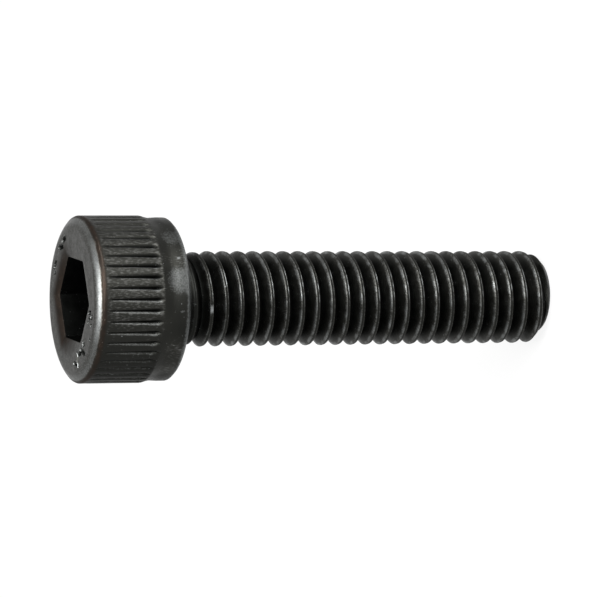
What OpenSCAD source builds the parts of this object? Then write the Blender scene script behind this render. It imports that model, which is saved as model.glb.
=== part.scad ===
// Hexagon socket head cap screw with a straight-knurled cylindrical head, in millimetres.
// The origin is the centre of the bearing face under the head. +Z points out of the socket,
// and the shank runs down -Z to its chamfered end.

/* [Head] */
// Diameter over the crests of the knurl
knurl_d = 10.26; // [10.1:0.02:10.3]
// Diameter of the plain band between the knurl and the bearing face
land_d = 10; // [9.8:0.02:10.06]
// Height of the head, from the bearing face to the socket face
head_h = 6; // [5.4:0.1:8]
// Height of the plain band
land_h = 1.4; // [1:0.1:2]
// Height of the slope between the plain band and the knurl
shoulder_h = 0.2; // [0.1:0.05:0.4]
// How far the rounded top edge reaches in over the socket face
edge_in = 0.56; // [0.4:0.02:0.7]
// How far the rounded top edge reaches down the side
edge_drop = 0.4; // [0.3:0.02:0.55]
// Radius of the rounded top edge
edge_r = 0.8; // [0.7:0.05:1.5]
// Chamfer at the rim of the bearing face
rim_chamfer = 0.15; // [0.05:0.05:0.3]

/* [Knurl] */
// Number of grooves round the head
groove_count = 46; // [36:1:52]
// Depth of a groove below the crests
groove_depth = 0.2; // [0.1:0.02:0.3]
// Width of a groove at the crests
groove_w = 0.36; // [0.2:0.02:0.44]
// Length over which a groove fades out at each end
groove_fade = 0.35; // [0.2:0.05:0.5]
// Turn of the knurl about the axis, in degrees
knurl_turn = 3.6; // [0:0.1:7.8]

/* [Socket] */
// Key size: width across the flats of the hexagon
socket_af = 5; // [4:0.1:5.6]
// Depth of the hexagon below the socket face
socket_depth = 3; // [2.2:0.1:3.6]
// Depth of the shallow cone that the punch leaves in the floor
socket_cone = 0.65; // [0.3:0.05:0.9]
// Width of the shallow bevel that the punch leaves round the mouth of the hexagon
mouth_w = 0.3; // [0.1:0.05:0.4]
// Depth of that bevel at the edge of the hexagon
mouth_drop = 0.12; // [0.04:0.02:0.2]
// Turn of the hexagon about the axis, in degrees
socket_turn = 23.3; // [0:0.1:59.9]

/* [Shank] */
// Length of the shank, from the bearing face to its end
shank_l = 25; // [12:1:40]
// Diameter of the plain neck under the head
neck_d = 5.4; // [5:0.05:5.6]
// Fillet between the neck and the bearing face
neck_fillet = 0.3; // [0.2:0.05:0.5]
// Diameter of the flat end of the shank
end_d = 4.4; // [3.6:0.1:4.6]
// Angle of the end chamfer from the axis, in degrees
end_angle = 45; // [35:1:55]

/* [Thread] */
// Diameter over the thread's crests, just under the nominal 6
thread_d = 5.9; // [5.7:0.01:6]
// Rise of the right-hand thread in one turn
pitch = 1; // [0.7:0.05:1.2]
// Length of the plain neck before the thread begins to rise
neck_l = 0.45; // [0.35:0.05:1.5]
// Length over which the thread rises from the neck to its full form
runout_l = 1.8; // [1:0.1:3]
// Height of a crest above the bearing face's plane where it crosses the X axis
thread_phase = 0.23; // [0:0.01:1]

/* [Hidden] */

// Overlap that lets a cut pass through a face, or a solid sink into the one that carries it
cut = 0.5;
// A round shape's number of sides on screen
round_fn = 96;

knurl_r = knurl_d / 2;
land_r = land_d / 2;
neck_r = neck_d / 2;
thread_r = thread_d / 2;
socket_corner_r = socket_af / 2 / cos(30);

// Metric thread profile: a sixty-degree triangle of height triangle_h, of which the crest cuts
// off an eighth and the root fills a sixth
flank_angle = 30;
crest_share = 1 / 8;
root_share = 1 / 6;
triangle_h = pitch / 2 / tan(flank_angle);
thread_depth = triangle_h * (1 - crest_share - root_share);
crest_w = pitch * crest_share;
flank_w = thread_depth * tan(flank_angle);
root_r = thread_r - thread_depth;

// Facets of one turn of the thread
turn_facets = 40;
// Extra length of thread beyond the shank's end, which the end chamfer trims off
overrun_l = 1.2 * pitch;
// How far the cutter of the end chamfer reaches out beyond the thread's crests
cutter_reach = 1;
// A hair's breadth that keeps the fillet's ring proud of the faceted neck
neck_skin = 0.03;

// Centre of the circle of radius r through points a and b, on the left of the way from a to b
function arc_centre(a, b, r) =
    let (
        half = (b - a) / 2,
        reach = sqrt(r * r - half * half) / norm(half)
    )
    a + half + [-half.y, half.x] * reach;

// Outline of the head as it is turned, before the knurl and the socket are pressed into it
module head_outline() {
    top_inner = [knurl_r - edge_in, head_h];
    top_outer = [knurl_r, head_h - edge_drop];
    shoulder_z = land_h + shoulder_h;
    difference() {
        polygon([
            [0, 0],
            [land_r - rim_chamfer, 0],
            [land_r, rim_chamfer],
            [land_r, land_h],
            [knurl_r, shoulder_z],
            [knurl_r, head_h],
            [0, head_h]
        ]);
        difference() {
            polygon([
                top_inner,
                [knurl_r + cut, head_h + cut * edge_in / edge_drop],
                [knurl_r + cut, head_h - edge_drop - cut * edge_drop / edge_in],
                top_outer
            ]);
            translate(arc_centre(top_outer, top_inner, edge_r)) circle(edge_r, $fn = round_fn);
        }
    }
}

// One groove of the knurl, a V with sloping ends, along +X and reaching out past the crests
module groove() {
    flare = (groove_depth + cut) / groove_depth;
    half_w = groove_w / 2 * flare;
    slope = groove_fade * flare;
    root = knurl_r - groove_depth;
    low = land_h + shoulder_h / 2 + groove_fade;
    high = head_h - edge_drop - groove_fade / 2;
    polyhedron(
        [
            [root, 0, low],
            [root, 0, high],
            [knurl_r + cut, -half_w, low - slope],
            [knurl_r + cut, half_w, low - slope],
            [knurl_r + cut, half_w, high + slope],
            [knurl_r + cut, -half_w, high + slope]
        ],
        [[0, 2, 3], [1, 4, 5], [0, 3, 4, 1], [0, 1, 5, 2], [2, 5, 4, 3]]
    );
}

// The hexagon, its bevelled mouth and the shallow cone in its floor
module socket() {
    mouth_r = socket_corner_r + mouth_w / cos(30);
    flare = (mouth_drop + cut) / mouth_drop;
    translate([0, 0, head_h]) rotate(socket_turn) {
        translate([0, 0, -socket_depth]) cylinder(r = socket_corner_r, h = socket_depth + cut, $fn = 6);
        translate([0, 0, -mouth_drop])
            cylinder(
                r1 = socket_corner_r,
                r2 = socket_corner_r + (mouth_r - socket_corner_r) * flare,
                h = mouth_drop * flare,
                $fn = 6
            );
    }
    translate([0, 0, head_h - socket_depth - socket_cone])
        cylinder(r1 = 0, r2 = socket_af / 2, h = socket_cone, $fn = round_fn);
}

module head() {
    difference() {
        rotate_extrude($fn = round_fn) head_outline();
        for (i = [0 : groove_count - 1]) rotate(knurl_turn + 360 * i / groove_count) groove();
        socket();
    }
}

// The fillet ring that carries the neck into the bearing face
module neck_fillet_ring() {
    ring_r = neck_r + neck_skin;
    rotate_extrude($fn = round_fn)
        difference() {
            translate([0, -neck_fillet]) square([ring_r + neck_fillet, neck_fillet + cut]);
            translate([ring_r + neck_fillet, -neck_fillet]) circle(neck_fillet, $fn = round_fn);
        }
}

// One turn of the thread's profile as [height in the turn, radius]
function thread_profile() = [
    [0, thread_r],
    [crest_w, thread_r],
    [crest_w + flank_w, root_r],
    [pitch - flank_w, root_r]
];

// How much of the thread's form stands at a height: none on the neck, all past the run-out
function thread_share(z) = min(1, max(0, (-neck_l - z) / runout_l));

// A right-hand thread as one closed surface: columns of profile points round the axis, each
// column a little higher than the last, so that the last one joins the first a turn up
module thread() {
    profile = thread_profile();
    points_a_turn = len(profile);
    bottom_turn = floor((-shank_l - overrun_l) / pitch);
    bottom_z = bottom_turn * pitch + thread_phase - crest_w / 2;
    turns = ceil((cut - bottom_z) / pitch);
    top = turns * points_a_turn;
    column = top + 1;
    last = turn_facets - 1;
    function vertex(c, k) =
        let (
            p = profile[k % points_a_turn],
            z = bottom_z + pitch * (c / turn_facets + floor(k / points_a_turn)) + p[0],
            r = neck_r + (p[1] - neck_r) * thread_share(z),
            a = 360 * c / turn_facets
        )
        [r * cos(a), r * sin(a), z];
    function id(c, k) = c <= last ? c * column + k : k + points_a_turn;
    low_tip = turn_facets * column;
    high_tip = low_tip + 1;
    side = [
        for (c = [0 : last], k = [0 : (c < last ? top - 1 : top - 1 - points_a_turn)])
            each [[id(c, k), id(c, k + 1), id(c + 1, k + 1)], [id(c, k), id(c + 1, k + 1), id(c + 1, k)]]
    ];
    low_rim = concat([for (c = [0 : last]) id(c, 0)], [for (k = [points_a_turn : -1 : 1]) id(0, k)]);
    high_rim = concat([for (c = [0 : last]) id(c, top)], [for (k = [1 : points_a_turn]) id(last, top - k)]);
    low_end = [for (i = [0 : len(low_rim) - 1]) [low_tip, low_rim[i], low_rim[(i + 1) % len(low_rim)]]];
    high_end = [for (i = [0 : len(high_rim) - 1]) [high_tip, high_rim[(i + 1) % len(high_rim)], high_rim[i]]];
    polyhedron(
        concat(
            [for (c = [0 : last], k = [0 : top]) vertex(c, k)],
            [[0, 0, bottom_z - cut], [0, 0, bottom_z + pitch * (turns + 1) + cut]]
        ),
        concat(side, low_end, high_end)
    );
}

// What the end chamfer leaves of the shank, and of the thread inside the head
module shank_limit() {
    wide = thread_r + cutter_reach;
    slope_l = (wide - end_d / 2) / tan(end_angle);
    rotate_extrude($fn = round_fn)
        polygon([
            [0, cut],
            [wide, cut],
            [wide, slope_l - shank_l],
            [end_d / 2, -shank_l],
            [0, -shank_l]
        ]);
}

module cap_screw() {
    color("#2e2d2c") union() {
        head();
        neck_fillet_ring();
        intersection() {
            thread();
            shank_limit();
        }
    }
}

cap_screw();
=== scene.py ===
"""Looks of a hexagon socket cap screw in blackened steel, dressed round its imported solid.

The screw stands on the flat end of its shank, socket up. Sizes in the classes are in
millimetres and turned to metres once, when a finished mesh is handed over.
"""

import logging
import math
import random
from dataclasses import dataclass, field
from enum import Enum

import bmesh
import bpy
from mathutils import Matrix, Vector, noise


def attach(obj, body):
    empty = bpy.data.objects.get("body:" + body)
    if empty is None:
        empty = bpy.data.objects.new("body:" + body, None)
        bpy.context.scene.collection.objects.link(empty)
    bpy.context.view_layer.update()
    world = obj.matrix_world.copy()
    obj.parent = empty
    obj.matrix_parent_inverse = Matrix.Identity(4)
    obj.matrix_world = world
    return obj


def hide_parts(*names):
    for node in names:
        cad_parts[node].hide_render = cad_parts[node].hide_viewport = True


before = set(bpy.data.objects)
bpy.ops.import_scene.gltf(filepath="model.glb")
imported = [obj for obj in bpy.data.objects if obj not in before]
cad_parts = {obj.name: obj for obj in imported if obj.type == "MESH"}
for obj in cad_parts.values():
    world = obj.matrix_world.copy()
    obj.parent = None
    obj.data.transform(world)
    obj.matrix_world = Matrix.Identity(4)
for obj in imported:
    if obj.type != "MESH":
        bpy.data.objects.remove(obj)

LOG = logging.getLogger("cap_screw")
MM = 0.001
FULL_TURN = 2 * math.pi
WHITE = (1.0, 1.0, 1.0, 1.0)
# Distances in millimetres below which points merge, and count as level with a face
WELD = 1e-4
THREAD_WELD = 2e-3
LEVEL = 1e-3
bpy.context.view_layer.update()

# Pairs of waves a millimetre and height, for smooth noise
Waves = tuple[tuple[float, float], ...]
# Settings of a shader's sums and of its blends of colour
MULTIPLY = {"operation": "MULTIPLY"}
MULTIPLY_ADD = {"operation": "MULTIPLY_ADD"}
MAXIMUM = {"operation": "MAXIMUM"}
BLEND = {"data_type": "RGBA"}


class Zone(Enum):
    """Parts of the screw's surface that get a form of their own."""

    FLOOR = 1
    WALL = 2
    FACE = 3
    RIM = 4
    KNURL = 5
    BAND = 6
    SEAT = 7
    NECK = 8
    THREAD = 9
    END = 10


class MarkForm(Enum):
    """Forms of the plain marks punched in the socket face."""

    DOT = "dot"
    BAR = "bar"


def ease(share: float) -> float:
    """Turns a share into a smooth step from 0 to 1, flat at both ends."""
    t = min(1.0, max(0.0, share))
    return t * t * (3 - 2 * t)


def ramp(value: float, start: float, length: float) -> float:
    """Rises smoothly from 0 at start to 1 a length further on."""
    return ease((value - start) / length)


def between(ends: tuple[float, float], share: float) -> float:
    """Gives the value at a share of the way from one end to the other."""
    return ends[0] + (ends[1] - ends[0]) * share


def ripple(place: Vector, waves: Waves) -> float:
    """Adds up smooth noise at a place, from pairs of waves a millimetre and height."""
    return sum(height * noise.noise(place * number) for number, height in waves)


def soft_min(a: float, b: float, blend: float) -> float:
    """Gives the lesser of two values, rounded off where they cross.

    Args:
        a: First value.
        b: Second value.
        blend: Difference between the values within which they blend.

    Returns:
        The lesser value, or up to a quarter of the blend below it.
    """
    overlap = max(blend - abs(a - b), 0.0) / blend
    return min(a, b) - overlap * overlap * blend / 4


def soft_max(a: float, b: float, blend: float) -> float:
    """Gives the greater of two values, rounded off where they cross."""
    return -soft_min(-a, -b, blend)


def linear(hex_colour: str) -> tuple[float, float, float, float]:
    """Turns an sRGB hex colour into linear RGBA.

    Args:
        hex_colour: Six hex digits after a hash, such as "#8a8a8a".

    Returns:
        The linear colour with full alpha.
    """
    channels = (int(hex_colour[i : i + 2], 16) / 255 for i in (1, 3, 5))
    red, green, blue = (
        c / 12.92 if c <= 0.04045 else ((c + 0.055) / 1.055) ** 2.4 for c in channels
    )
    return red, green, blue, 1.0


def grains_per_metre(size_mm: float) -> float:
    """Gives the scale of a pattern whose grain measures size_mm."""
    return 1 / (size_mm * MM)


def add_node(
    tree: bpy.types.NodeTree,
    kind: str,
    settings: dict[str, object] | None = None,
    inputs: dict[str | int, object] | None = None,
) -> bpy.types.Node:
    """Adds a node to a shader, with its settings, values and links.

    Args:
        tree: The shader's node tree.
        kind: The node's type name.
        settings: Properties to set on the node.
        inputs: Values for its inputs, or the outputs that they are linked to.

    Returns:
        The new node.
    """
    node = tree.nodes.new(kind)
    for name, value in (settings or {}).items():
        setattr(node, name, value)
    for key, value in (inputs or {}).items():
        if isinstance(value, bpy.types.NodeSocket):
            tree.links.new(value, node.inputs[key])
        else:
            node.inputs[key].default_value = value
    return node


def new_material(name: str) -> bpy.types.Material:
    """Starts a node material with an empty tree.

    Args:
        name: The material's name.

    Returns:
        The material.
    """
    made = bpy.data.materials.new(name)
    made.use_nodes = True
    made.node_tree.nodes.clear()
    return made


def add_object(name: str, data: bpy.types.ID) -> bpy.types.Object:
    """Puts a mesh, a lamp or a camera into the scene as an object.

    Args:
        name: The object's name.
        data: The mesh, lamp or camera.

    Returns:
        The object.
    """
    made = bpy.data.objects.new(name, data)
    bpy.context.scene.collection.objects.link(made)
    return made


class Pen:
    """Draws half a section in the XZ plane, which is then swept round the axis."""

    def __init__(self, bm: bmesh.types.BMesh, r: float, z: float, zone: Zone) -> None:
        """Puts the pen down.

        Args:
            bm: The mesh that takes the section.
            r: Distance from the axis.
            z: Height.
            zone: Zone of the first point.
        """
        self.bm = bm
        self.zones = bm.verts.layers.int["zone"]
        self.tip = bm.verts.new((r, 0, z))
        self.tip[self.zones] = zone.value
        self.drawn: list[bmesh.types.BMVert | bmesh.types.BMEdge] = [self.tip]

    def step(self, place: Vector, zone: Zone) -> None:
        """Draws one straight edge to a place.

        Args:
            place: Where the edge ends.
            zone: Zone of its end.
        """
        made = bmesh.ops.extrude_vert_indiv(self.bm, verts=[self.tip])
        self.tip = made["verts"][0]
        self.tip.co = place
        self.tip[self.zones] = zone.value
        self.drawn += made["edges"] + made["verts"]

    def line(self, r: float, z: float, zone: Zone, rows: int = 1) -> None:
        """Draws a straight stretch.

        Args:
            r: Distance of its end from the axis.
            z: Height of its end.
            zone: Zone of its points.
            rows: Number of edges in it.
        """
        start, end = self.tip.co.copy(), Vector((r, 0, z))
        for row in range(1, rows + 1):
            self.step(start.lerp(end, row / rows), zone)

    def arc(self, r: float, z: float, degrees: float, zone: Zone, rows: int) -> None:
        """Draws an arc.

        Args:
            r: Distance of its centre from the axis.
            z: Height of its centre.
            degrees: Turn about the +Y direction.
            zone: Zone of its points.
            rows: Number of edges in it.
        """
        centre = Vector((r, 0, z))
        turn = Matrix.Rotation(math.radians(degrees / rows), 3, "Y")
        for _ in range(rows):
            self.step(centre + turn @ (self.tip.co - centre), zone)

    def revolve(self, columns: int, start_deg: float) -> None:
        """Sweeps the section once round the axis.

        Args:
            columns: Number of columns of faces.
            start_deg: Angle of the first column.
        """
        bmesh.ops.rotate(
            self.bm,
            verts=points_in(self.drawn),
            cent=(0, 0, 0),
            matrix=Matrix.Rotation(math.radians(start_deg), 3, "Z"),
        )
        self._spin(columns, 0.0, merge=True)

    def screw(self, columns: int, turns: int, rise: float) -> None:
        """Sweeps the section round the axis and along it, and stacks the turn on itself.

        Args:
            columns: Number of columns of faces in a turn.
            turns: Least number of turns.
            rise: Height gained in a turn.
        """
        self._spin(columns, rise, merge=False)
        made = 1
        while made < turns:
            turn = self.bm.verts[:] + self.bm.edges[:] + self.bm.faces[:]
            copied = bmesh.ops.duplicate(self.bm, geom=turn)["geom"]
            bmesh.ops.translate(self.bm, verts=points_in(copied), vec=(0, 0, made * rise))
            made *= 2

    def _spin(self, columns: int, rise: float, merge: bool) -> None:
        """Sweeps the section through one full turn, in which it rises.

        Args:
            columns: Number of columns of faces.
            rise: Height gained in the turn.
            merge: Whether the last column joins the first.
        """
        bmesh.ops.spin(
            self.bm,
            geom=self.drawn,
            cent=(0, 0, 0),
            axis=(0, 0, 1),
            dvec=(0, 0, rise / columns),
            angle=FULL_TURN,
            steps=columns,
            use_merge=merge,
            use_duplicate=False,
        )


def points_in(geometry: list[bmesh.types.BMVert | bmesh.types.BMEdge]) -> list[bmesh.types.BMVert]:
    """Picks the points out of a list of points, edges and faces."""
    return [item for item in geometry if isinstance(item, bmesh.types.BMVert)]


def new_bmesh() -> bmesh.types.BMesh:
    """Starts a mesh whose points know their zone, how far they stand out, their wear, and their
    painted light and shade.

    Returns:
        The empty mesh.
    """
    bm = bmesh.new()
    bm.verts.layers.int.new("zone")
    for name in ("crest", "bare", "brown"):
        bm.verts.layers.float.new(name)
    return bm


def layers_of(bm: bmesh.types.BMesh) -> tuple[bmesh.types.BMLayerItem, ...]:
    """Gives the layers of a mesh's points: zone, crest, bare and brown."""
    floats = bm.verts.layers.float
    return bm.verts.layers.int["zone"], floats["crest"], floats["bare"], floats["brown"]


def bell(value: float, middle: float, half_w: float, steepness: float = 1.5) -> float:
    """Gives 1 where a value is at the middle, falling smoothly to 0 at half_w from it."""
    return ease(steepness * (1 - abs(value - middle) / half_w))


def angle_of(vert: bmesh.types.BMVert) -> float:
    """Gives a point's angle round the axis, in degrees."""
    return math.degrees(math.atan2(vert.co.y, vert.co.x))


def set_radius(vert: bmesh.types.BMVert, r: float) -> None:
    """Moves a point straight in or out to a distance from the axis.

    Args:
        vert: The point.
        r: The distance.
    """
    scale = r / math.hypot(vert.co.x, vert.co.y)
    vert.co.x *= scale
    vert.co.y *= scale


@dataclass(frozen=True)
class Mark:
    """A plain punch mark in the socket face."""

    form: MarkForm
    angle_deg: float
    r: float
    turn_deg: float = 0.0
    size: float = 0.15
    length: float = 0.4
    steepness: float = 1.4

    def depth_share(self, x: float, y: float) -> float:
        """Gives how deep the mark is at a point of the face.

        Args:
            x: The point's x.
            y: The point's y.

        Returns:
            1 at the mark's middle, 0 outside it.
        """
        angle = math.radians(self.angle_deg)
        dx = x - self.r * math.cos(angle)
        dy = y - self.r * math.sin(angle)
        turn = angle + math.radians(self.turn_deg)
        along = dx * math.cos(turn) + dy * math.sin(turn)
        across = -dx * math.sin(turn) + dy * math.cos(turn)
        if self.form is MarkForm.BAR:
            along = max(abs(along) - self.length / 2, 0.0)
        return bell(math.hypot(along, across), 0.0, self.size, self.steepness)


@dataclass(frozen=True)
class Nick:
    """A small knock that has bared the steel, or, where large and faint, a spot of painted sheen.
    """

    x: float
    y: float
    z: float
    size: float = 0.2
    strength: float = 1.4
    reach: float = 1.5

    def share(self, place: Vector) -> float:
        """Gives how bare the nick leaves a place, at most its strength."""
        away = (place - Vector((self.x, self.y, self.z))).length
        return self.strength * ease(self.reach - away / self.size)


@dataclass(frozen=True)
class WearAndHighlightLine:
    """A line along the thread's crest that is bare steel in patches: partly rubbed wear, partly a
    painted highlight.
    """

    at: float
    half_w: float
    share: float
    patch: tuple[float, float]

    def bare(self, away: float, place: Vector) -> float:
        """Gives how bare the line leaves a place.

        Args:
            away: Distance from the crest's middle, along the axis.
            place: The place itself.

        Returns:
            0 away from the line, about its share on it.
        """
        return bell(away, self.at, self.half_w) * (self.share + ripple(place, (self.patch,)))


@dataclass(frozen=True)
class HeadWear:
    """How the head's coat has rubbed off, browned and dulled, as shares of all of it.

    A side's extent is told by the cosine of the angle from its middle. The fringe is the
    brown line outside the bare rim, and the far side's shade is a painted shade on the
    socket face's far side, round the socket's mouth. A crest value says how light and
    polished the coat is. The rim's near side also carries a painted highlight, and the
    knurl is lighter on its lit side as painted light.
    """

    rim_r: tuple[float, float] = (4.36, 5.06)
    rim_fade: tuple[float, float] = (0.5, 0.06)
    rim_ragged: Waves = ((1.6, 0.03), (7.0, 0.02))
    rim_bare_and_highlight: tuple[float, float] = (0.44, 0.88)
    rim_highlight_side_deg: float = 276.0
    rim_highlight_side_from: float = 0.7
    rim_highlight_side_fade: float = 0.2

    far_side_from: float = 0.2
    far_side_shade_w: float = 1.3
    mouth_brown: float = 0.3
    mouth_brown_w: float = 0.45
    fringe_in: float = 0.1
    fringe_fade: float = 0.12
    face_crest: float = 0.9
    far_side_shading: float = 0.75
    fringe_dulling: float = 0.6

    band_edge_h: float = 0.1
    band_edge_bare: float = 0.55
    band_crest: float = 0.65
    band_patch: tuple[float, float] = (0.7, 0.4)
    seat_crest: float = 0.6
    nicks: tuple[Nick, ...] = (
        Nick(2.49, -4.38, 0.52, 0.1),
        Nick(-0.76, -4.98, 0.5, 0.1),
        # The next two large, faint spots on the band's near side are painted sheen, not knocks.
        Nick(1.15, -4.9, 0.6, 0.9, 0.45),
        Nick(3.77, -3.34, 0.7, 0.7, 0.35),
    )

    knurl_brown_h: float = 0.25
    knurl_brown_fade: float = 0.2
    knurl_dulling: float = 0.5
    lit_side_deg: float = 295.0
    lit_side_from: float = 0.1
    lit_side_fade: float = 0.9
    painted_side_light: tuple[float, float] = (0.5, 1.1)
    ridge_shade: float = 0.76
    groove_shade: float = 1.3
    groove_top_shade: float = 0.5
    flank_at: float = 0.75
    flank_half_w: float = 0.6
    lit_flank_highlight: float = 0.5

    mark_edge: tuple[float, float] = (0.2, 0.2)
    mark_bare: float = 0.9
    mark_shading: tuple[float, float] = (0.2, 0.5)


@dataclass
class Head:
    """The knurled head with its pressed hexagon.

    Heights count from the bearing face. A pair of groove sizes is for its top and its
    bottom. A reach says how far a groove runs on past its end, and a fade over what
    height it gains its full depth.
    """

    height: float = 6.0
    knurl_r: float = 5.155
    band_r: float = 5.04
    band_h: float = 1.1
    bulge: float = 0.03
    bulge_h: float = 0.5
    shoulder_h: float = 0.65
    shoulder_rows: int = 6
    shoulder_power: float = 1.5
    rim_in: float = 0.82
    rim_drop: float = 0.4
    rim_r: float = 1.35
    rim_edge: float = 0.04
    seat_chamfer: float = 0.15
    seat_r: float = 4.4

    socket_af: float = 5.0
    socket_depth: float = 3.0
    socket_cone: float = 0.65
    cone_gap: float = 0.1
    mouth_w: float = 0.8
    mouth_drop: float = 0.17
    mouth_power: float = 2.2
    socket_turn: float = 23.3
    corner_blend: float = 0.03
    face_gap: float = 0.02
    face_spread: float = 1.3
    swell: Waves = ((0.9, 0.014), (3.1, 0.004))
    swell_sink: float = 0.01
    swell_fade: float = 0.25

    groove_count: int = 46
    groove_turn: float = 3.56
    groove_depth: tuple[float, float] = (0.08, 0.2)
    groove_half_w: tuple[float, float] = (0.08, 0.19)
    groove_deepening: float = 1.5
    groove_blend: float = 0.25
    groove_force: tuple[float, float] = (0.85, 1.1)
    groove_top: float = 5.36
    groove_top_reach: float = 0.12
    groove_top_fade: float = 0.5
    groove_top_spread: float = 0.1
    groove_top_rows_h: float = 0.35
    groove_bottom: float = 1.82
    groove_bottom_reach: float = 0.16
    groove_bottom_fade: float = 0.6
    groove_bottom_spread: float = 0.05
    groove_bottom_rows_h: float = 0.7
    crown: float = 0.03
    chatter: float = 0.012
    chatter_waves: tuple[float, float] = (3.7, 1.6)
    columns_a_groove: int = 12
    column_pull: float = 1.45

    marks: tuple[Mark, ...] = (
        Mark(MarkForm.BAR, 248.5, 3.5, turn_deg=75.0, size=0.18, length=0.35),
        Mark(MarkForm.DOT, 254.0, 3.9, size=0.27),
        Mark(MarkForm.BAR, 256.5, 3.45, turn_deg=20.0, size=0.18, length=0.4),
        Mark(MarkForm.DOT, 246.5, 4.0, size=0.2),
        Mark(MarkForm.DOT, 234.0, 4.2, size=0.15),
        Mark(MarkForm.DOT, 219.0, 3.5, size=0.29),
        Mark(MarkForm.BAR, 213.0, 3.85, turn_deg=35.0, size=0.19, length=0.55),
        Mark(MarkForm.DOT, 208.5, 3.5, size=0.2),
        Mark(MarkForm.BAR, 202.0, 3.6, turn_deg=85.0, size=0.19, length=0.5),
        Mark(MarkForm.BAR, 195.5, 3.9, turn_deg=-5.0, size=0.15, length=0.95),
        Mark(MarkForm.BAR, 188.5, 4.0, turn_deg=70.0, size=0.16, length=0.5),
        Mark(MarkForm.BAR, 22.0, 4.0, turn_deg=90.0, size=0.2, length=0.5),
        Mark(MarkForm.BAR, 33.0, 3.85, turn_deg=65.0, size=0.2, length=0.6),
        Mark(MarkForm.BAR, 56.0, 3.9, turn_deg=80.0, size=0.18, length=0.5),
        Mark(MarkForm.DOT, 64.0, 3.7, size=0.2),
    )
    mark_depth: float = 0.14
    mark_lip: tuple[float, float] = (0.12, 0.12)
    mark_lip_share: float = 0.25
    wear: HeadWear = field(default_factory=HeadWear)
    seed: int = 7

    @property
    def corner_r(self) -> float:
        """Distance of the hexagon's corners from the axis."""
        return self.socket_af / 2 / math.cos(math.radians(30))

    @property
    def face_r(self) -> float:
        """Radius at which the socket face ends and the rounded rim begins."""
        return self.knurl_r - self.rim_in

    def draw(self, bm: bmesh.types.BMesh) -> Pen:
        """Draws the head's section from the socket's floor to the bearing face.

        Args:
            bm: The mesh that takes the section.

        Returns:
            The pen, at the end of the section.
        """
        floor_z = self.height - self.socket_depth
        pen = Pen(bm, 0.0, floor_z - self.socket_cone, Zone.FLOOR)
        pen.line(self.socket_af / 2 - self.cone_gap, floor_z, Zone.FLOOR, rows=4)
        pen.line(self.corner_r, floor_z, Zone.WALL)
        pen.line(self.corner_r, self.height - self.mouth_drop, Zone.WALL, rows=4)
        pen.line(self.face_r - self.face_gap, self.height, Zone.FACE, rows=30)
        self._draw_rim(pen)
        shoulder_z = self.band_h + self.shoulder_h
        low_z = self.groove_bottom + self.groove_bottom_rows_h
        pen.line(self.knurl_r, self.height - self.rim_drop - self.rim_edge, Zone.RIM, rows=2)
        pen.line(self.knurl_r, self.groove_top - self.groove_top_rows_h, Zone.KNURL, rows=7)
        pen.line(self.knurl_r, low_z, Zone.KNURL, rows=6)
        pen.line(self.knurl_r, shoulder_z, Zone.KNURL, rows=14)
        low_r = self.band_r - self.bulge
        for row in range(1, self.shoulder_rows + 1):
            share = row / self.shoulder_rows
            r = low_r + (self.knurl_r - low_r) * (1 - share) ** self.shoulder_power
            pen.line(r, shoulder_z - self.shoulder_h * share, Zone.BAND)
        pen.line(self.band_r, self.band_h - self.bulge_h, Zone.BAND, rows=3)
        pen.line(self.band_r, self.seat_chamfer, Zone.BAND, rows=2)
        pen.line(self.band_r - self.seat_chamfer, 0.0, Zone.BAND, rows=2)
        pen.line(self.seat_r, 0.0, Zone.SEAT)
        return pen

    def _draw_rim(self, pen: Pen) -> None:
        """Draws the rounded rim between the socket face and the side.

        Args:
            pen: The pen, at the end of the socket face.
        """
        inner = Vector((self.face_r, 0, self.height))
        low_z = self.height - self.rim_drop + self.rim_edge
        outer = Vector((self.knurl_r - self.rim_edge, 0, low_z))
        half = (outer - inner) / 2
        reach = math.sqrt(self.rim_r**2 - half.length_squared) / half.length
        centre = inner + half + Vector((half.z, 0, -half.x)) * reach
        sweep = 2 * math.asin(half.length / self.rim_r)
        pen.step(inner, Zone.RIM)
        pen.arc(centre.x, centre.z, math.degrees(sweep), Zone.RIM, rows=9)

    def build(self) -> bmesh.types.BMesh:
        """Makes the head, open where the shank joins it.

        Returns:
            The head's mesh, in millimetres.
        """
        bm = new_bmesh()
        pen = self.draw(bm)
        pen.revolve(self.groove_count * self.columns_a_groove, self.socket_turn)
        bmesh.ops.remove_doubles(bm, verts=bm.verts, dist=WELD)
        self._press_hexagon(bm)
        self._roll_knurl(bm)
        self._wear(bm)
        self._strike_marks(bm)
        return bm

    def _hexagon_share(self, angle_deg: float) -> float:
        """Gives the hexagon's radius at an angle as a share of its corners' radius.

        Args:
            angle_deg: The angle.

        Returns:
            The share, almost 1 at a corner.
        """
        from_flat = (angle_deg - self.socket_turn) % 60 - 30
        share = math.cos(math.radians(30)) / math.cos(math.radians(from_flat))
        return soft_min(share, 1 - self.corner_blend / 4, self.corner_blend)

    def _press_hexagon(self, bm: bmesh.types.BMesh) -> None:
        """Presses the round hole of the section into a hexagon, and the face with it.

        Args:
            bm: The head's mesh.
        """
        zones, _, _, _ = layers_of(bm)
        width = self.face_r - self.corner_r
        for vert in bm.verts:
            zone = Zone(vert[zones])
            if zone not in (Zone.WALL, Zone.FACE):
                continue
            r = math.hypot(vert.co.x, vert.co.y)
            hexagon = self._hexagon_share(angle_of(vert))
            if zone is Zone.WALL:
                set_radius(vert, r * hexagon)
                continue
            share = (r - self.corner_r) / width
            edge_r = self.corner_r * hexagon
            from_edge = (self.face_r - edge_r) * share**self.face_spread
            set_radius(vert, edge_r + from_edge)
            rolled = max(0.0, 1 - from_edge / self.mouth_w) ** self.mouth_power
            swell = ripple(vert.co, self.swell) - self.swell_sink
            swell *= ramp(share, 0.0, self.swell_fade) * ramp(1 - share, 0.0, self.swell_fade)
            vert.co.z = self.height - self.mouth_drop * rolled + swell

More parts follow.
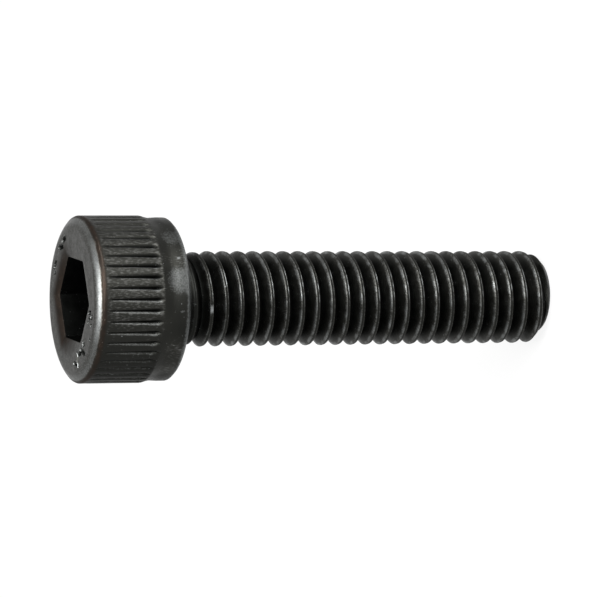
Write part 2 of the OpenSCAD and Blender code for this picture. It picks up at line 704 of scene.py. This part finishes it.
    def _roll_knurl(self, bm: bmesh.types.BMesh) -> None:
        """Rolls the grooves of the knurl into the side, each a little unlike the next, with a
        painted shade in each groove and a painted highlight on one flank.

        Args:
            bm: The head's mesh.
        """
        zones, crest, bare, _ = layers_of(bm)
        wear = self.wear
        draw = random.Random(self.seed)
        count = range(self.groove_count)
        top_spread, bottom_spread = self.groove_top_spread, self.groove_bottom_spread
        spacing = 360 / self.groove_count
        half_pitch = math.radians(spacing) * self.knurl_r / 2
        force = [draw.uniform(*self.groove_force) for _ in count]
        tops = [self.groove_top + draw.uniform(-top_spread, top_spread) for _ in count]
        bottoms = [self.groove_bottom + draw.uniform(-bottom_spread, bottom_spread) for _ in count]
        for vert in bm.verts:
            if Zone(vert[zones]) is not Zone.KNURL:
                continue
            turns = (angle_of(vert) - self.groove_turn) / spacing
            groove = round(turns)
            share = abs(turns - groove) * 2
            pulled = share**self.column_pull
            turn = (pulled - share) / 2 * math.radians(spacing)
            vert.co.rotate(Matrix.Rotation(math.copysign(turn, groove - turns), 3, "Z"))
            across = pulled * half_pitch
            groove %= self.groove_count
            z, top, bottom = vert.co.z, tops[groove], bottoms[groove]
            down = (max(top - z, 0.0) / (top - bottom)) ** self.groove_deepening
            along = ramp(z, bottom - self.groove_bottom_reach, self.groove_bottom_fade)
            along *= ramp(top + self.groove_top_reach - z, 0.0, self.groove_top_fade)
            half_w = between(self.groove_half_w, down) * math.sqrt(max(along, 1e-6))
            cut = soft_max(1 - across / half_w, 0.0, self.groove_blend)
            depth = between(self.groove_depth, down) * force[groove] * cut
            crown = self.crown * (across / half_pitch - 1) ** 2
            apart, waves = self.chatter_waves
            worn = min(self.chatter * noise.noise(Vector((groove * apart, 0, z * waves))), 0.0)
            set_radius(vert, self.knurl_r + (worn - depth - crown) * along)
            shade = min(1.0, wear.groove_shade * cut) * along
            shade *= between((wear.groove_top_shade, 1.0), min(1.0, down))
            vert[crest] = wear.ridge_shade * (1 - shade)
            # Painted highlight: the same flank of every groove, the one that faces the lamps on
            # the near side, is paler and barer.
            if turns < round(turns):
                flank = bell(across / half_w, wear.flank_at, wear.flank_half_w) * along
                vert[crest] = max(vert[crest], flank)
                vert[bare] = wear.lit_flank_highlight * flank

    def _wear(self, bm: bmesh.types.BMesh) -> None:
        """Marks where the coat has rubbed off and where it has browned, and where light and shade
        are painted on it.

        Args:
            bm: The head's mesh.
        """
        zones, crest, bare, brown = layers_of(bm)
        wear = self.wear
        knurl_brown_z = self.height - self.rim_drop - wear.knurl_brown_h
        band_edge_z = self.seat_chamfer + wear.band_edge_h
        for vert in bm.verts:
            zone = Zone(vert[zones])
            if zone in (Zone.FACE, Zone.RIM):
                vert[crest], vert[bare], vert[brown] = self._face_wear(vert)
            elif zone is Zone.BAND:
                edge = wear.band_edge_bare * ramp(band_edge_z - vert.co.z, 0.0, wear.band_edge_h)
                vert[bare] = max(edge, *(nick.share(vert.co) for nick in wear.nicks))
                vert[crest] = wear.band_crest + ripple(vert.co, (wear.band_patch,))
            elif zone is Zone.SEAT:
                vert[crest] = wear.seat_crest
            elif zone is Zone.KNURL:
                vert[brown] = ramp(vert.co.z, knurl_brown_z, wear.knurl_brown_fade)
                # Painted light and shade: the knurl's coat is lighter and its flanks paler on the
                # side turned to the lamps, and darker round the other side.
                facing = math.cos(math.radians(angle_of(vert) - wear.lit_side_deg))
                bright = ramp(facing, wear.lit_side_from, wear.lit_side_fade)
                painted_side_light = between(wear.painted_side_light, bright)
                vert[crest] *= (1 - wear.knurl_dulling * vert[brown]) * painted_side_light
                vert[bare] *= painted_side_light

    def _face_wear(self, vert: bmesh.types.BMVert) -> tuple[float, float, float]:
        """Tells the wear of a point of the socket face or its rim, with its painted highlight and
        painted shade.

        Args:
            vert: The point.

        Returns:
            How far it stands out, how bare and how brown it is.
        """
        wear = self.wear
        inner, outer = wear.rim_r
        r = math.hypot(vert.co.x, vert.co.y)
        worn_r = r + ripple(vert.co, wear.rim_ragged)
        side = math.cos(math.radians(angle_of(vert) - wear.rim_highlight_side_deg))
        # Partly rubbed wear, partly painted highlight: the rim is bare all round, and barer on its
        # near side where the lamps shine in it.
        near = between(wear.rim_bare_and_highlight, ramp(side, wear.rim_highlight_side_from, wear.rim_highlight_side_fade))
        bare = near * ramp(worn_r, inner, wear.rim_fade[0])
        bare *= ramp(outer - worn_r, 0.0, wear.rim_fade[1])
        from_edge = r - self.corner_r * self._hexagon_share(angle_of(vert))
        fringe = ramp(worn_r, outer - wear.fringe_in, wear.fringe_fade)
        # Painted shade: on the socket face's far side, near the socket's mouth, the coat is darker
        # and browner.
        far_side_shade = ease(wear.far_side_from - side) * ease(wear.far_side_shade_w - from_edge)
        mouth = wear.mouth_brown * (1 - from_edge / wear.mouth_brown_w)
        dull = max(wear.far_side_shading * far_side_shade, wear.fringe_dulling * fringe)
        return wear.face_crest - dull, bare, max(fringe, far_side_shade, mouth)

    def _strike_marks(self, bm: bmesh.types.BMesh) -> None:
        """Strikes the plain marks into the socket face.

        Args:
            bm: The head's mesh.
        """
        zones, crest, bare, _ = layers_of(bm)
        wear = self.wear
        for vert in bm.verts:
            if Zone(vert[zones]) is not Zone.FACE:
                continue
            share = max(mark.depth_share(vert.co.x, vert.co.y) for mark in self.marks)
            vert.co.z += self.mark_depth * (
                self.mark_lip_share * bell(share, *self.mark_lip) - share
            )
            vert[bare] = max(vert[bare], wear.mark_bare * bell(share, *wear.mark_edge))
            # Painted shade: the coat darkens inside each mark.
            vert[crest] *= 1 - ramp(share, *wear.mark_shading)


@dataclass
class Shank:
    """The threaded shank with its neck and its chamfered end.

    The crest's two half widths are for the head's side and the tip's side. The strip joins
    thread and neck: its two values say how far above the neck's end they meet it.
    """

    length: float = 25.0
    neck_r: float = 2.7
    neck_l: float = 0.45
    neck_fillet: float = 0.3
    seat_r: float = 3.9
    end_r: float = 2.2
    end_angle: float = 45.0
    end_shift: float = 0.11
    end_blend: float = 0.06
    end_rings: tuple[float, ...] = (0.96, 0.7, 0.4)
    end_crest: float = 0.5
    strip: tuple[float, float] = (0.02, 0.06)

    thread_r: float = 2.96
    taper: float = 0.0021
    pitch: float = 1.0
    thread_depth: float = 0.6134
    crest_half_w: tuple[float, float] = (0.06, 0.13)
    flank_w: float = 0.354
    crest_blend: float = 0.08
    root_blend: float = 0.1
    seam_depth: float = 0.035
    seam_half_w: float = 0.06
    seam_at: float = -0.09
    gap_shade: float = 0.65
    gap_at: float = -0.04
    gap_half_w: float = 0.09
    flank_wear_and_highlight: WearAndHighlightLine = WearAndHighlightLine(0.1, 0.1, 0.38, (2.3, 0.75))
    seam_highlight_line: WearAndHighlightLine = WearAndHighlightLine(-0.12, 0.06, 0.45, (3.1, 1.2))
    seam_highlight_side_deg: tuple[float, float] = (288.0, 32.0)
    scuff: float = 0.45
    scuff_h: float = 2.4
    scuff_fade: float = 1.2
    runout: float = 1.8
    phase: float = 0.226
    columns: int = 86
    overrun: float = 1.2
    nicks: tuple[Nick, ...] = (
        Nick(1.2, -2.65, -5.4, 0.24, 2.4),
        Nick(-0.7, -2.87, -2.09, 0.22),
        Nick(2.49, -1.59, -9.33, 0.2),
    )

    rows: tuple[float, ...] = (
        0.03, 0.06, 0.09, 0.13, 0.18, 0.26, 0.36, 0.44, 0.54, 0.62, 0.70,
        0.76, 0.81, 0.845, 0.865, 0.885, 0.90, 0.92, 0.94, 0.97, 1.0,
    )

    @property
    def turns(self) -> int:
        """Number of turns swept, a little more than the shank takes."""
        return math.ceil(self.length / self.pitch + 2 * self.overrun)

    def build_thread(self) -> bmesh.types.BMesh:
        """Makes the thread and its end.

        Returns:
            The thread's mesh, open at the top, in millimetres.
        """
        bm = new_bmesh()
        low = math.floor((-self.length - self.overrun) / self.pitch) * self.pitch + self.phase
        pen = Pen(bm, self.thread_r, low, Zone.THREAD)
        for row in self.rows:
            pen.line(self.thread_r, low + row * self.pitch, Zone.THREAD)
        pen.screw(self.columns, self.turns, self.pitch)
        bmesh.ops.remove_doubles(bm, verts=bm.verts, dist=THREAD_WELD)
        self._roll_thread(bm)
        self._trim(bm, -self.neck_l + self.strip[0], 1)
        self._trim(bm, -self.length, -1)
        self._close_end(bm)
        return bm

    def _profile(self, share: float) -> float:
        """Gives the thread's height over its root at a share of the pitch.

        Args:
            share: 0 at a crest's middle, 0.5 at a root's middle.

        Returns:
            The height over the root, in millimetres.
        """
        away = (share - round(share)) * self.pitch
        half_w = self.crest_half_w[0] if away > 0 else self.crest_half_w[1]
        flank = self.thread_depth * (1 - (abs(away) - half_w) / self.flank_w)
        height = soft_min(self.thread_depth, flank, self.crest_blend)
        seam = self.seam_depth * ease(1 - abs(away - self.seam_at) / self.seam_half_w)
        return soft_max(0.0, height, self.root_blend) - seam

    def _roll_thread(self, bm: bmesh.types.BMesh) -> None:
        """Gives each point of the sweep its distance from the axis, and its coat: wear, nicks,
        painted shade and painted highlights.

        Args:
            bm: The thread's mesh.
        """
        _, crest, bare, _ = layers_of(bm)
        root_r = self.thread_r - self.thread_depth
        slope = math.tan(math.radians(self.end_angle))
        for vert in bm.verts:
            z = vert.co.z
            share = (z - self.phase) / self.pitch - angle_of(vert) / 360
            height = self._profile(share)
            risen = min(1.0, max(0.0, (-self.neck_l - z) / self.runout))
            r = self.neck_r + (root_r + height + self.taper * z - self.neck_r) * risen
            end = self.end_r + max(z + self.length, 0.0) * slope
            end += self.end_shift * math.cos(math.radians(angle_of(vert)))
            above_end = z > LEVEL - self.length
            set_radius(vert, soft_min(r, end, self.end_blend) if above_end else min(r, end))
            away = (share - round(share)) * self.pitch
            # Painted shade: the coat darkens from the crest down into the root.
            proud = min(1.0, max(0.0, height / self.thread_depth)) * risen
            proud *= 1 - self.gap_shade * bell(away, self.gap_at, self.gap_half_w)
            scuffed = self.scuff * ramp(self.scuff_h - self.length - z, 0.0, self.scuff_fade)
            vert[crest] = max(proud, scuffed)
            # Painted highlight: the seam's line is bare only on the side turned to the camera and
            # lamps; the line on the head's flank is partly wear, partly painted highlight.
            seen = bell(angle_of(vert) % 360, *self.seam_highlight_side_deg)
            vert[bare] = max(
                self.flank_wear_and_highlight.bare(away, vert.co) * risen,
                self.seam_highlight_line.bare(away, vert.co) * seen * risen,
                *(nick.share(vert.co) for nick in self.nicks),
            )

    def _trim(self, bm: bmesh.types.BMesh, z: float, side: int) -> None:
        """Cuts the thread off level and throws away what lies beyond.

        Args:
            bm: The thread's mesh.
            z: Height of the cut.
            side: 1 to drop what is above the cut, -1 to drop what is below it.
        """
        bmesh.ops.bisect_plane(
            bm,
            geom=bm.verts[:] + bm.edges[:] + bm.faces[:],
            dist=1e-5,
            plane_co=(0, 0, z),
            plane_no=(0, 0, side),
            clear_outer=True,
        )

    def _close_end(self, bm: bmesh.types.BMesh) -> None:
        """Closes the flat end with rings of faces round a middle point.

        Args:
            bm: The thread's mesh.
        """
        zones, crest, _, _ = layers_of(bm)
        low_z = self.pitch - self.length
        rim = [e for e in bm.edges if e.is_boundary and max(v.co.z for v in e.verts) < low_z]
        for scale in self.end_rings:
            made = bmesh.ops.extrude_edge_only(bm, edges=rim)["geom"]
            ring = points_in(made)
            edges = [item for item in made if isinstance(item, bmesh.types.BMEdge)]
            rim = [edge for edge in edges if all(vert in ring for vert in edge.verts)]
            for vert in ring:
                set_radius(vert, self.end_r * scale)
                vert[zones] = Zone.END.value
                vert[crest] = self.end_crest
        bmesh.ops.edgeloop_fill(bm, edges=rim)

    def build_neck(self) -> bmesh.types.BMesh:
        """Makes the bearing face's middle, the fillet and the neck.

        Returns:
            The mesh, open at both ends, in millimetres.
        """
        bm = new_bmesh()
        pen = Pen(bm, self.seat_r, 0.0, Zone.SEAT)
        pen.line(self.neck_r + self.neck_fillet, 0.0, Zone.SEAT)
        pen.arc(self.neck_r + self.neck_fillet, -self.neck_fillet, -90.0, Zone.NECK, rows=6)
        pen.line(self.neck_r, -self.neck_l + self.strip[1], Zone.NECK)
        pen.revolve(self.columns, 0.0)
        bmesh.ops.remove_doubles(bm, verts=bm.verts, dist=WELD)
        return bm


@dataclass(frozen=True)
class BlackenedSteel:
    """Cold-headed steel, blackened hot and oiled.

    The eye gets a near-black metal with a dull grain and fine bright specks, brown where the
    coat is thin beside an edge, and pale grey steel where an edge has rubbed. The coat darkens in
    hollows as painted shade, and pale steel also stands in for painted highlights.
    """

    name: str = "blackened_steel_oiled"
    shaded_coat: str = "#181918"
    coat: str = "#2f2f2c"
    thin_coat: str = "#352b25"
    polished_coat: str = "#595957"
    steel: str = "#8f9292"
    warm_steel: str = "#a69e91"
    roughness: tuple[float, float] = (0.36, 0.48)
    steel_smoothing: float = 0.25
    mottle_mm: float = 0.5
    mottle_range: tuple[float, float] = (0.3, 0.7)
    grain_mm: float = 0.07
    grain_height_mm: float = 0.008
    grain_strength: float = 0.7
    streak_mm: float = 0.09
    streak_squash: float = 0.35
    polish_range: tuple[float, float] = (0.4, 0.68)
    speck_mm: float = 0.1
    chip_patchiness: float = 0.4
    chip_range: tuple[float, float] = (0.94, 1.06)
    chip_share: float = 0.6
    rub_grain: float = 0.6
    rub_range: tuple[float, float] = (0.5, 1.8)
    rub_share: float = 0.9
    edge_tint: tuple[float, float] = (0.45, 0.9)

    def material(self) -> bpy.types.Material:
        """Makes the finish as a node material.

        Returns:
            The material.
        """
        made = new_material(self.name)
        tree = made.node_tree
        place = add_node(tree, "ShaderNodeTexCoord").outputs["Object"]
        crest, bare, brown = (
            add_node(tree, "ShaderNodeAttribute", {"attribute_name": name}).outputs["Fac"]
            for name in ("crest", "bare", "brown")
        )
        mottle, speck, grain = (
            add_node(
                tree,
                "ShaderNodeTexNoise",
                inputs={"Vector": place, "Scale": grains_per_metre(size), "Detail": detail},
            ).outputs["Fac"]
            for size, detail in ((self.mottle_mm, 4.0), (self.speck_mm, 1.0), (self.grain_mm, 2.0))
        )
        steel = self._steel_share(tree, mottle, speck, bare)
        thin = add_node(tree, "ShaderNodeMath", MULTIPLY, {0: brown, 1: mottle}).outputs[0]
        coat = self._coat_colour(tree, place, crest, thin)
        steels = {0: brown, 6: linear(self.steel), 7: linear(self.warm_steel)}
        steel_colour = add_node(tree, "ShaderNodeMix", BLEND, steels).outputs[2]
        shown = {0: steel, 6: coat, 7: steel_colour}
        coat_rough = {
            "Value": mottle,
            "From Min": self.mottle_range[0],
            "From Max": self.mottle_range[1],
            "To Min": self.roughness[0],
            "To Max": self.roughness[1],
        }
        rough = add_node(tree, "ShaderNodeMapRange", inputs=coat_rough).outputs[0]
        smoothed = {0: steel, 1: -self.steel_smoothing, 2: rough}
        bump = {
            "Height": grain,
            "Strength": self.grain_strength,
            "Distance": self.grain_height_mm * MM,
        }
        # The specular tint follows the crest, so hollows also reflect less: painted shade.
        low_tint, high_tint = ((tint, tint, tint, 1.0) for tint in self.edge_tint)
        tints = {0: crest, 6: low_tint, 7: high_tint}
        look = {
            "Base Color": add_node(tree, "ShaderNodeMix", BLEND, shown).outputs[2],
            "Roughness": add_node(tree, "ShaderNodeMath", MULTIPLY_ADD, smoothed).outputs[0],
            "Normal": add_node(tree, "ShaderNodeBump", inputs=bump).outputs[0],
            "Metallic": 1.0,
            "Specular Tint": add_node(tree, "ShaderNodeMix", BLEND, tints).outputs[2],
        }
        shader = add_node(tree, "ShaderNodeBsdfPrincipled", inputs=look)
        add_node(tree, "ShaderNodeOutputMaterial", inputs={"Surface": shader.outputs[0]})
        return made

    def _steel_share(
        self,
        tree: bpy.types.NodeTree,
        mottle: bpy.types.NodeSocket,
        speck: bpy.types.NodeSocket,
        bare: bpy.types.NodeSocket,
    ) -> bpy.types.NodeSocket:
        """Adds the pattern of bare steel: a few chips in patches, rubbed edges and painted
        highlights.

        Args:
            tree: The shader's node tree.
            mottle: The coarse pattern.
            speck: The fine pattern.
            bare: How rubbed the point is, or how strong a painted highlight is there.

        Returns:
            The share of steel that shows.
        """
        chips = (mottle, self.chip_patchiness, speck), self.chip_range, self.chip_share
        rubs = (speck, self.rub_grain, bare), self.rub_range, self.rub_share
        shares = {}
        for number, (terms, (start, end), most) in enumerate((chips, rubs)):
            total = add_node(tree, "ShaderNodeMath", MULTIPLY_ADD, dict(enumerate(terms)))
            scaled = {
                "Value": total.outputs[0],
                "From Min": start,
                "From Max": end,
                "To Max": most,
            }
            shares[number] = add_node(tree, "ShaderNodeMapRange", inputs=scaled).outputs[0]
        return add_node(tree, "ShaderNodeMath", MAXIMUM, shares).outputs[0]

    def _coat_colour(
        self,
        tree: bpy.types.NodeTree,
        place: bpy.types.NodeSocket,
        crest: bpy.types.NodeSocket,
        thin: bpy.types.NodeSocket,
    ) -> bpy.types.NodeSocket:
        """Adds the coat's colours: darker in hollows as painted shade, brown where thin, polished
        on crests.

        Args:
            tree: The shader's node tree.
            place: The point's place.
            crest: How far the point stands out; low values give the painted shade in hollows.
            thin: How thin the coat is.

        Returns:
            The coat's colour.
        """
        squashed = {"Vector": place, "Scale": (1.0, 1.0, self.streak_squash)}
        streak_place = add_node(tree, "ShaderNodeMapping", inputs=squashed).outputs[0]
        lines = {"Vector": streak_place, "Scale": grains_per_metre(self.streak_mm), "Detail": 2.0}
        streak = add_node(tree, "ShaderNodeTexNoise", inputs=lines).outputs["Fac"]
        shine = add_node(tree, "ShaderNodeMath", MULTIPLY, {0: crest, 1: streak}).outputs[0]
        start, end = self.polish_range
        scaled = {"Value": shine, "From Min": start, "From Max": end}
        polished = add_node(tree, "ShaderNodeMapRange", inputs=scaled).outputs[0]
        layers = ((crest, self.coat), (thin, self.thin_coat), (polished, self.polished_coat))
        colour = linear(self.shaded_coat)
        for share, next_colour in layers:
            blended = {0: share, 6: colour, 7: linear(next_colour)}
            colour = add_node(tree, "ShaderNodeMix", BLEND, blended).outputs[2]
        return colour


@dataclass(frozen=True)
class WhitePaper:
    """Matt white photographic paper, which shows white and keeps a faint shadow."""

    name: str = "white_paper"
    colour: str = "#f4f4f4"
    glow: float = 0.88

    def material(self) -> bpy.types.Material:
        """Makes the paper.

        Returns:
            The material.
        """
        made = new_material(self.name)
        tree = made.node_tree
        paper = add_node(tree, "ShaderNodeBsdfDiffuse", inputs={"Color": linear(self.colour)})
        white = add_node(tree, "ShaderNodeEmission", inputs={"Color": WHITE, "Strength": 1.0})
        seen = {0: seen_directly(tree), 1: self.glow}
        glow = add_node(tree, "ShaderNodeMath", MULTIPLY, seen)
        layers = {0: glow.outputs[0], 1: paper.outputs[0], 2: white.outputs[0]}
        mixed = add_node(tree, "ShaderNodeMixShader", inputs=layers)
        add_node(tree, "ShaderNodeOutputMaterial", inputs={"Surface": mixed.outputs[0]})
        return made


def seen_directly(tree: bpy.types.NodeTree) -> bpy.types.NodeSocket:
    """Adds the test for rays that show a background: camera, glossy and transmitted.

    Args:
        tree: The shader's node tree.

    Returns:
        1 for such a ray, 0 for any other.
    """
    path = add_node(tree, "ShaderNodeLightPath").outputs
    seen = path["Is Camera Ray"]
    for ray in ("Is Glossy Ray", "Is Transmission Ray"):
        seen = add_node(tree, "ShaderNodeMath", MAXIMUM, {0: seen, 1: path[ray]}).outputs[0]
    return seen


@dataclass
class CapScrew:
    """The whole screw, one piece of steel."""

    head: Head = field(default_factory=Head)
    shank: Shank = field(default_factory=Shank)
    finish: BlackenedSteel = field(default_factory=BlackenedSteel)
    name: str = "cap_screw_body"
    sharp_deg: float = 32.0
    join_reach: float = 0.1

    def build(self) -> bpy.types.Object:
        """Joins head, neck and thread into one closed mesh and dresses it.

        Returns:
            The finished object.
        """
        bm = new_bmesh()
        for part in (self.head.build(), self.shank.build_neck(), self.shank.build_thread()):
            carrier = bpy.data.meshes.new("carrier")
            part.to_mesh(carrier)
            part.free()
            bm.from_mesh(carrier)
            bpy.data.meshes.remove(carrier)
        self._join(bm, 0.0)
        self._join(bm, -self.shank.neck_l)
        bmesh.ops.triangulate(bm, faces=[face for face in bm.faces if len(face.verts) > 4])
        bmesh.ops.recalc_face_normals(bm, faces=bm.faces)
        bmesh.ops.scale(bm, verts=bm.verts, vec=(MM, MM, MM))
        mesh = bpy.data.meshes.new(self.name)
        bm.to_mesh(mesh)
        open_edges = sum(1 for edge in bm.edges if not edge.is_manifold)
        triangles = sum(len(face.verts) - 2 for face in bm.faces)
        LOG.info("%s: %d triangles, %d open edges", self.name, triangles, open_edges)
        bm.free()
        mesh.polygons.foreach_set("use_smooth", [True] * len(mesh.polygons))
        mesh.set_sharp_from_angle(angle=math.radians(self.sharp_deg))
        mesh.materials.append(self.finish.material())
        return add_object(self.name, mesh)

    def _join(self, bm: bmesh.types.BMesh, z: float) -> None:
        """Bridges the two open rings at a height.

        Args:
            bm: The mesh.
            z: Height of the rings, to within the join's reach.
        """
        open_edges = [edge for edge in bm.edges if edge.is_boundary]
        rings = [
            edge
            for edge in open_edges
            if all(abs(vert.co.z - z) < self.join_reach for vert in edge.verts)
        ]
        bmesh.ops.bridge_loops(bm, edges=rings)


@dataclass
class Softbox:
    """A rectangular soft lamp."""

    name: str
    place: tuple[float, float, float]
    width: float
    height: float
    watts: float
    aim: tuple[float, float, float] = (0.0, 0.0, -8.0)

    def build(self) -> bpy.types.Object:
        """Hangs the lamp and turns it to its aim.

        Returns:
            The lamp's object.
        """
        lamp = bpy.data.lights.new(self.name, "AREA")
        lamp.shape = "RECTANGLE"
        lamp.size, lamp.size_y = self.width * MM, self.height * MM
        lamp.energy = self.watts
        made = add_object(self.name, lamp)
        made.location = Vector(self.place) * MM
        made.rotation_mode = "QUATERNION"
        away = Vector(self.aim) - Vector(self.place)
        made.rotation_quaternion = away.to_track_quat("-Z", "Y")
        made.visible_camera = False
        return made


@dataclass
class Studio:
    """Floor, lamps, surroundings and camera.

    The camera sees the middle of the socket face, at the height face_z, at face_px.
    """

    floor_z: float = -25.0
    floor_size: float = 4000.0
    ambient: float = 0.35
    sensor: float = 36.0
    image_px: float = 598.0
    focal_px: float = 4899.0
    face_px: tuple[float, float] = (71.8, 299.6)
    face_z: float = 6.0
    distance: float = 300.0
    elevation_deg: float = 20.86
    roll_deg: float = 0.355
    clip: tuple[float, float] = (10.0, 10000.0)
    lamps: tuple[Softbox, ...] = (
        Softbox("lamp_above", (30.0, 20.0, 385.0), 220.0, 170.0, 1.0),
        Softbox("lamp_front", (90.0, -230.0, 250.0), 200.0, 200.0, 1.4),
        Softbox("lamp_low", (115.0, -125.0, 15.0), 220.0, 76.0, 0.42, aim=(0.0, 0.0, 0.0)),
    )

    def build(self) -> None:
        """Sets the stage."""
        self._floor()
        self._surroundings()
        for lamp in self.lamps:
            lamp.build()
            LOG.info("%s: %.2f W", lamp.name, lamp.watts)
        self._camera()
        bpy.context.scene.view_settings.view_transform = "Standard"

    def _floor(self) -> None:
        """Lays the paper under the screw."""
        bm = bmesh.new()
        bmesh.ops.create_grid(
            bm,
            x_segments=1,
            y_segments=1,
            size=self.floor_size / 2 * MM,
            matrix=Matrix.Translation((0, 0, self.floor_z * MM)),
        )
        mesh = bpy.data.meshes.new("floor")
        bm.to_mesh(mesh)
        bm.free()
        mesh.materials.append(WhitePaper().material())
        add_object("floor", mesh)

    def _surroundings(self) -> None:
        """Makes a white room that lights the screw softly from all sides."""
        world = bpy.data.worlds.new("white_room")
        world.use_nodes = True
        tree = world.node_tree
        tree.nodes.clear()
        scaled = {"Value": seen_directly(tree), "To Min": self.ambient, "To Max": 1.0}
        strength = add_node(tree, "ShaderNodeMapRange", inputs=scaled).outputs[0]
        room = {"Color": WHITE, "Strength": strength}
        light = add_node(tree, "ShaderNodeBackground", inputs=room)
        add_node(tree, "ShaderNodeOutputWorld", inputs={"Surface": light.outputs[0]})
        bpy.context.scene.world = world

    def _camera(self) -> None:
        """Places the camera, turned so that the standing screw lies across the picture."""
        elevation = math.radians(self.elevation_deg)
        roll = math.radians(self.roll_deg)
        away = Vector((0, math.cos(elevation), -math.sin(elevation)))
        flat_right = Vector((0, -math.sin(elevation), -math.cos(elevation)))
        flat_up = Vector((1, 0, 0))
        right = flat_right * math.cos(roll) - flat_up * math.sin(roll)
        up = flat_up * math.cos(roll) + flat_right * math.sin(roll)
        middle = self.image_px / 2
        across = right * (self.face_px[0] - middle) + up * (middle - self.face_px[1])
        sight = across / self.focal_px + away
        face = Vector((0, 0, self.face_z))
        camera = bpy.data.cameras.new("camera")
        camera.sensor_width = self.sensor
        camera.lens = self.sensor * self.focal_px / self.image_px
        camera.clip_start, camera.clip_end = (reach * MM for reach in self.clip)
        made = add_object("camera", camera)
        turn = Matrix((right, up, -away)).transposed().to_4x4()
        made.matrix_world = Matrix.Translation((face - sight * self.distance) * MM) @ turn
        bpy.context.scene.camera = made


def main() -> None:
    """Builds the screw and its studio, in order."""
    logging.basicConfig(level=logging.INFO, format="%(name)s: %(message)s")
    Studio().build()
    screw = CapScrew().build()
    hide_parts("cap_screw")
    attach(screw, "root")


if __name__ == "__main__":
    main()
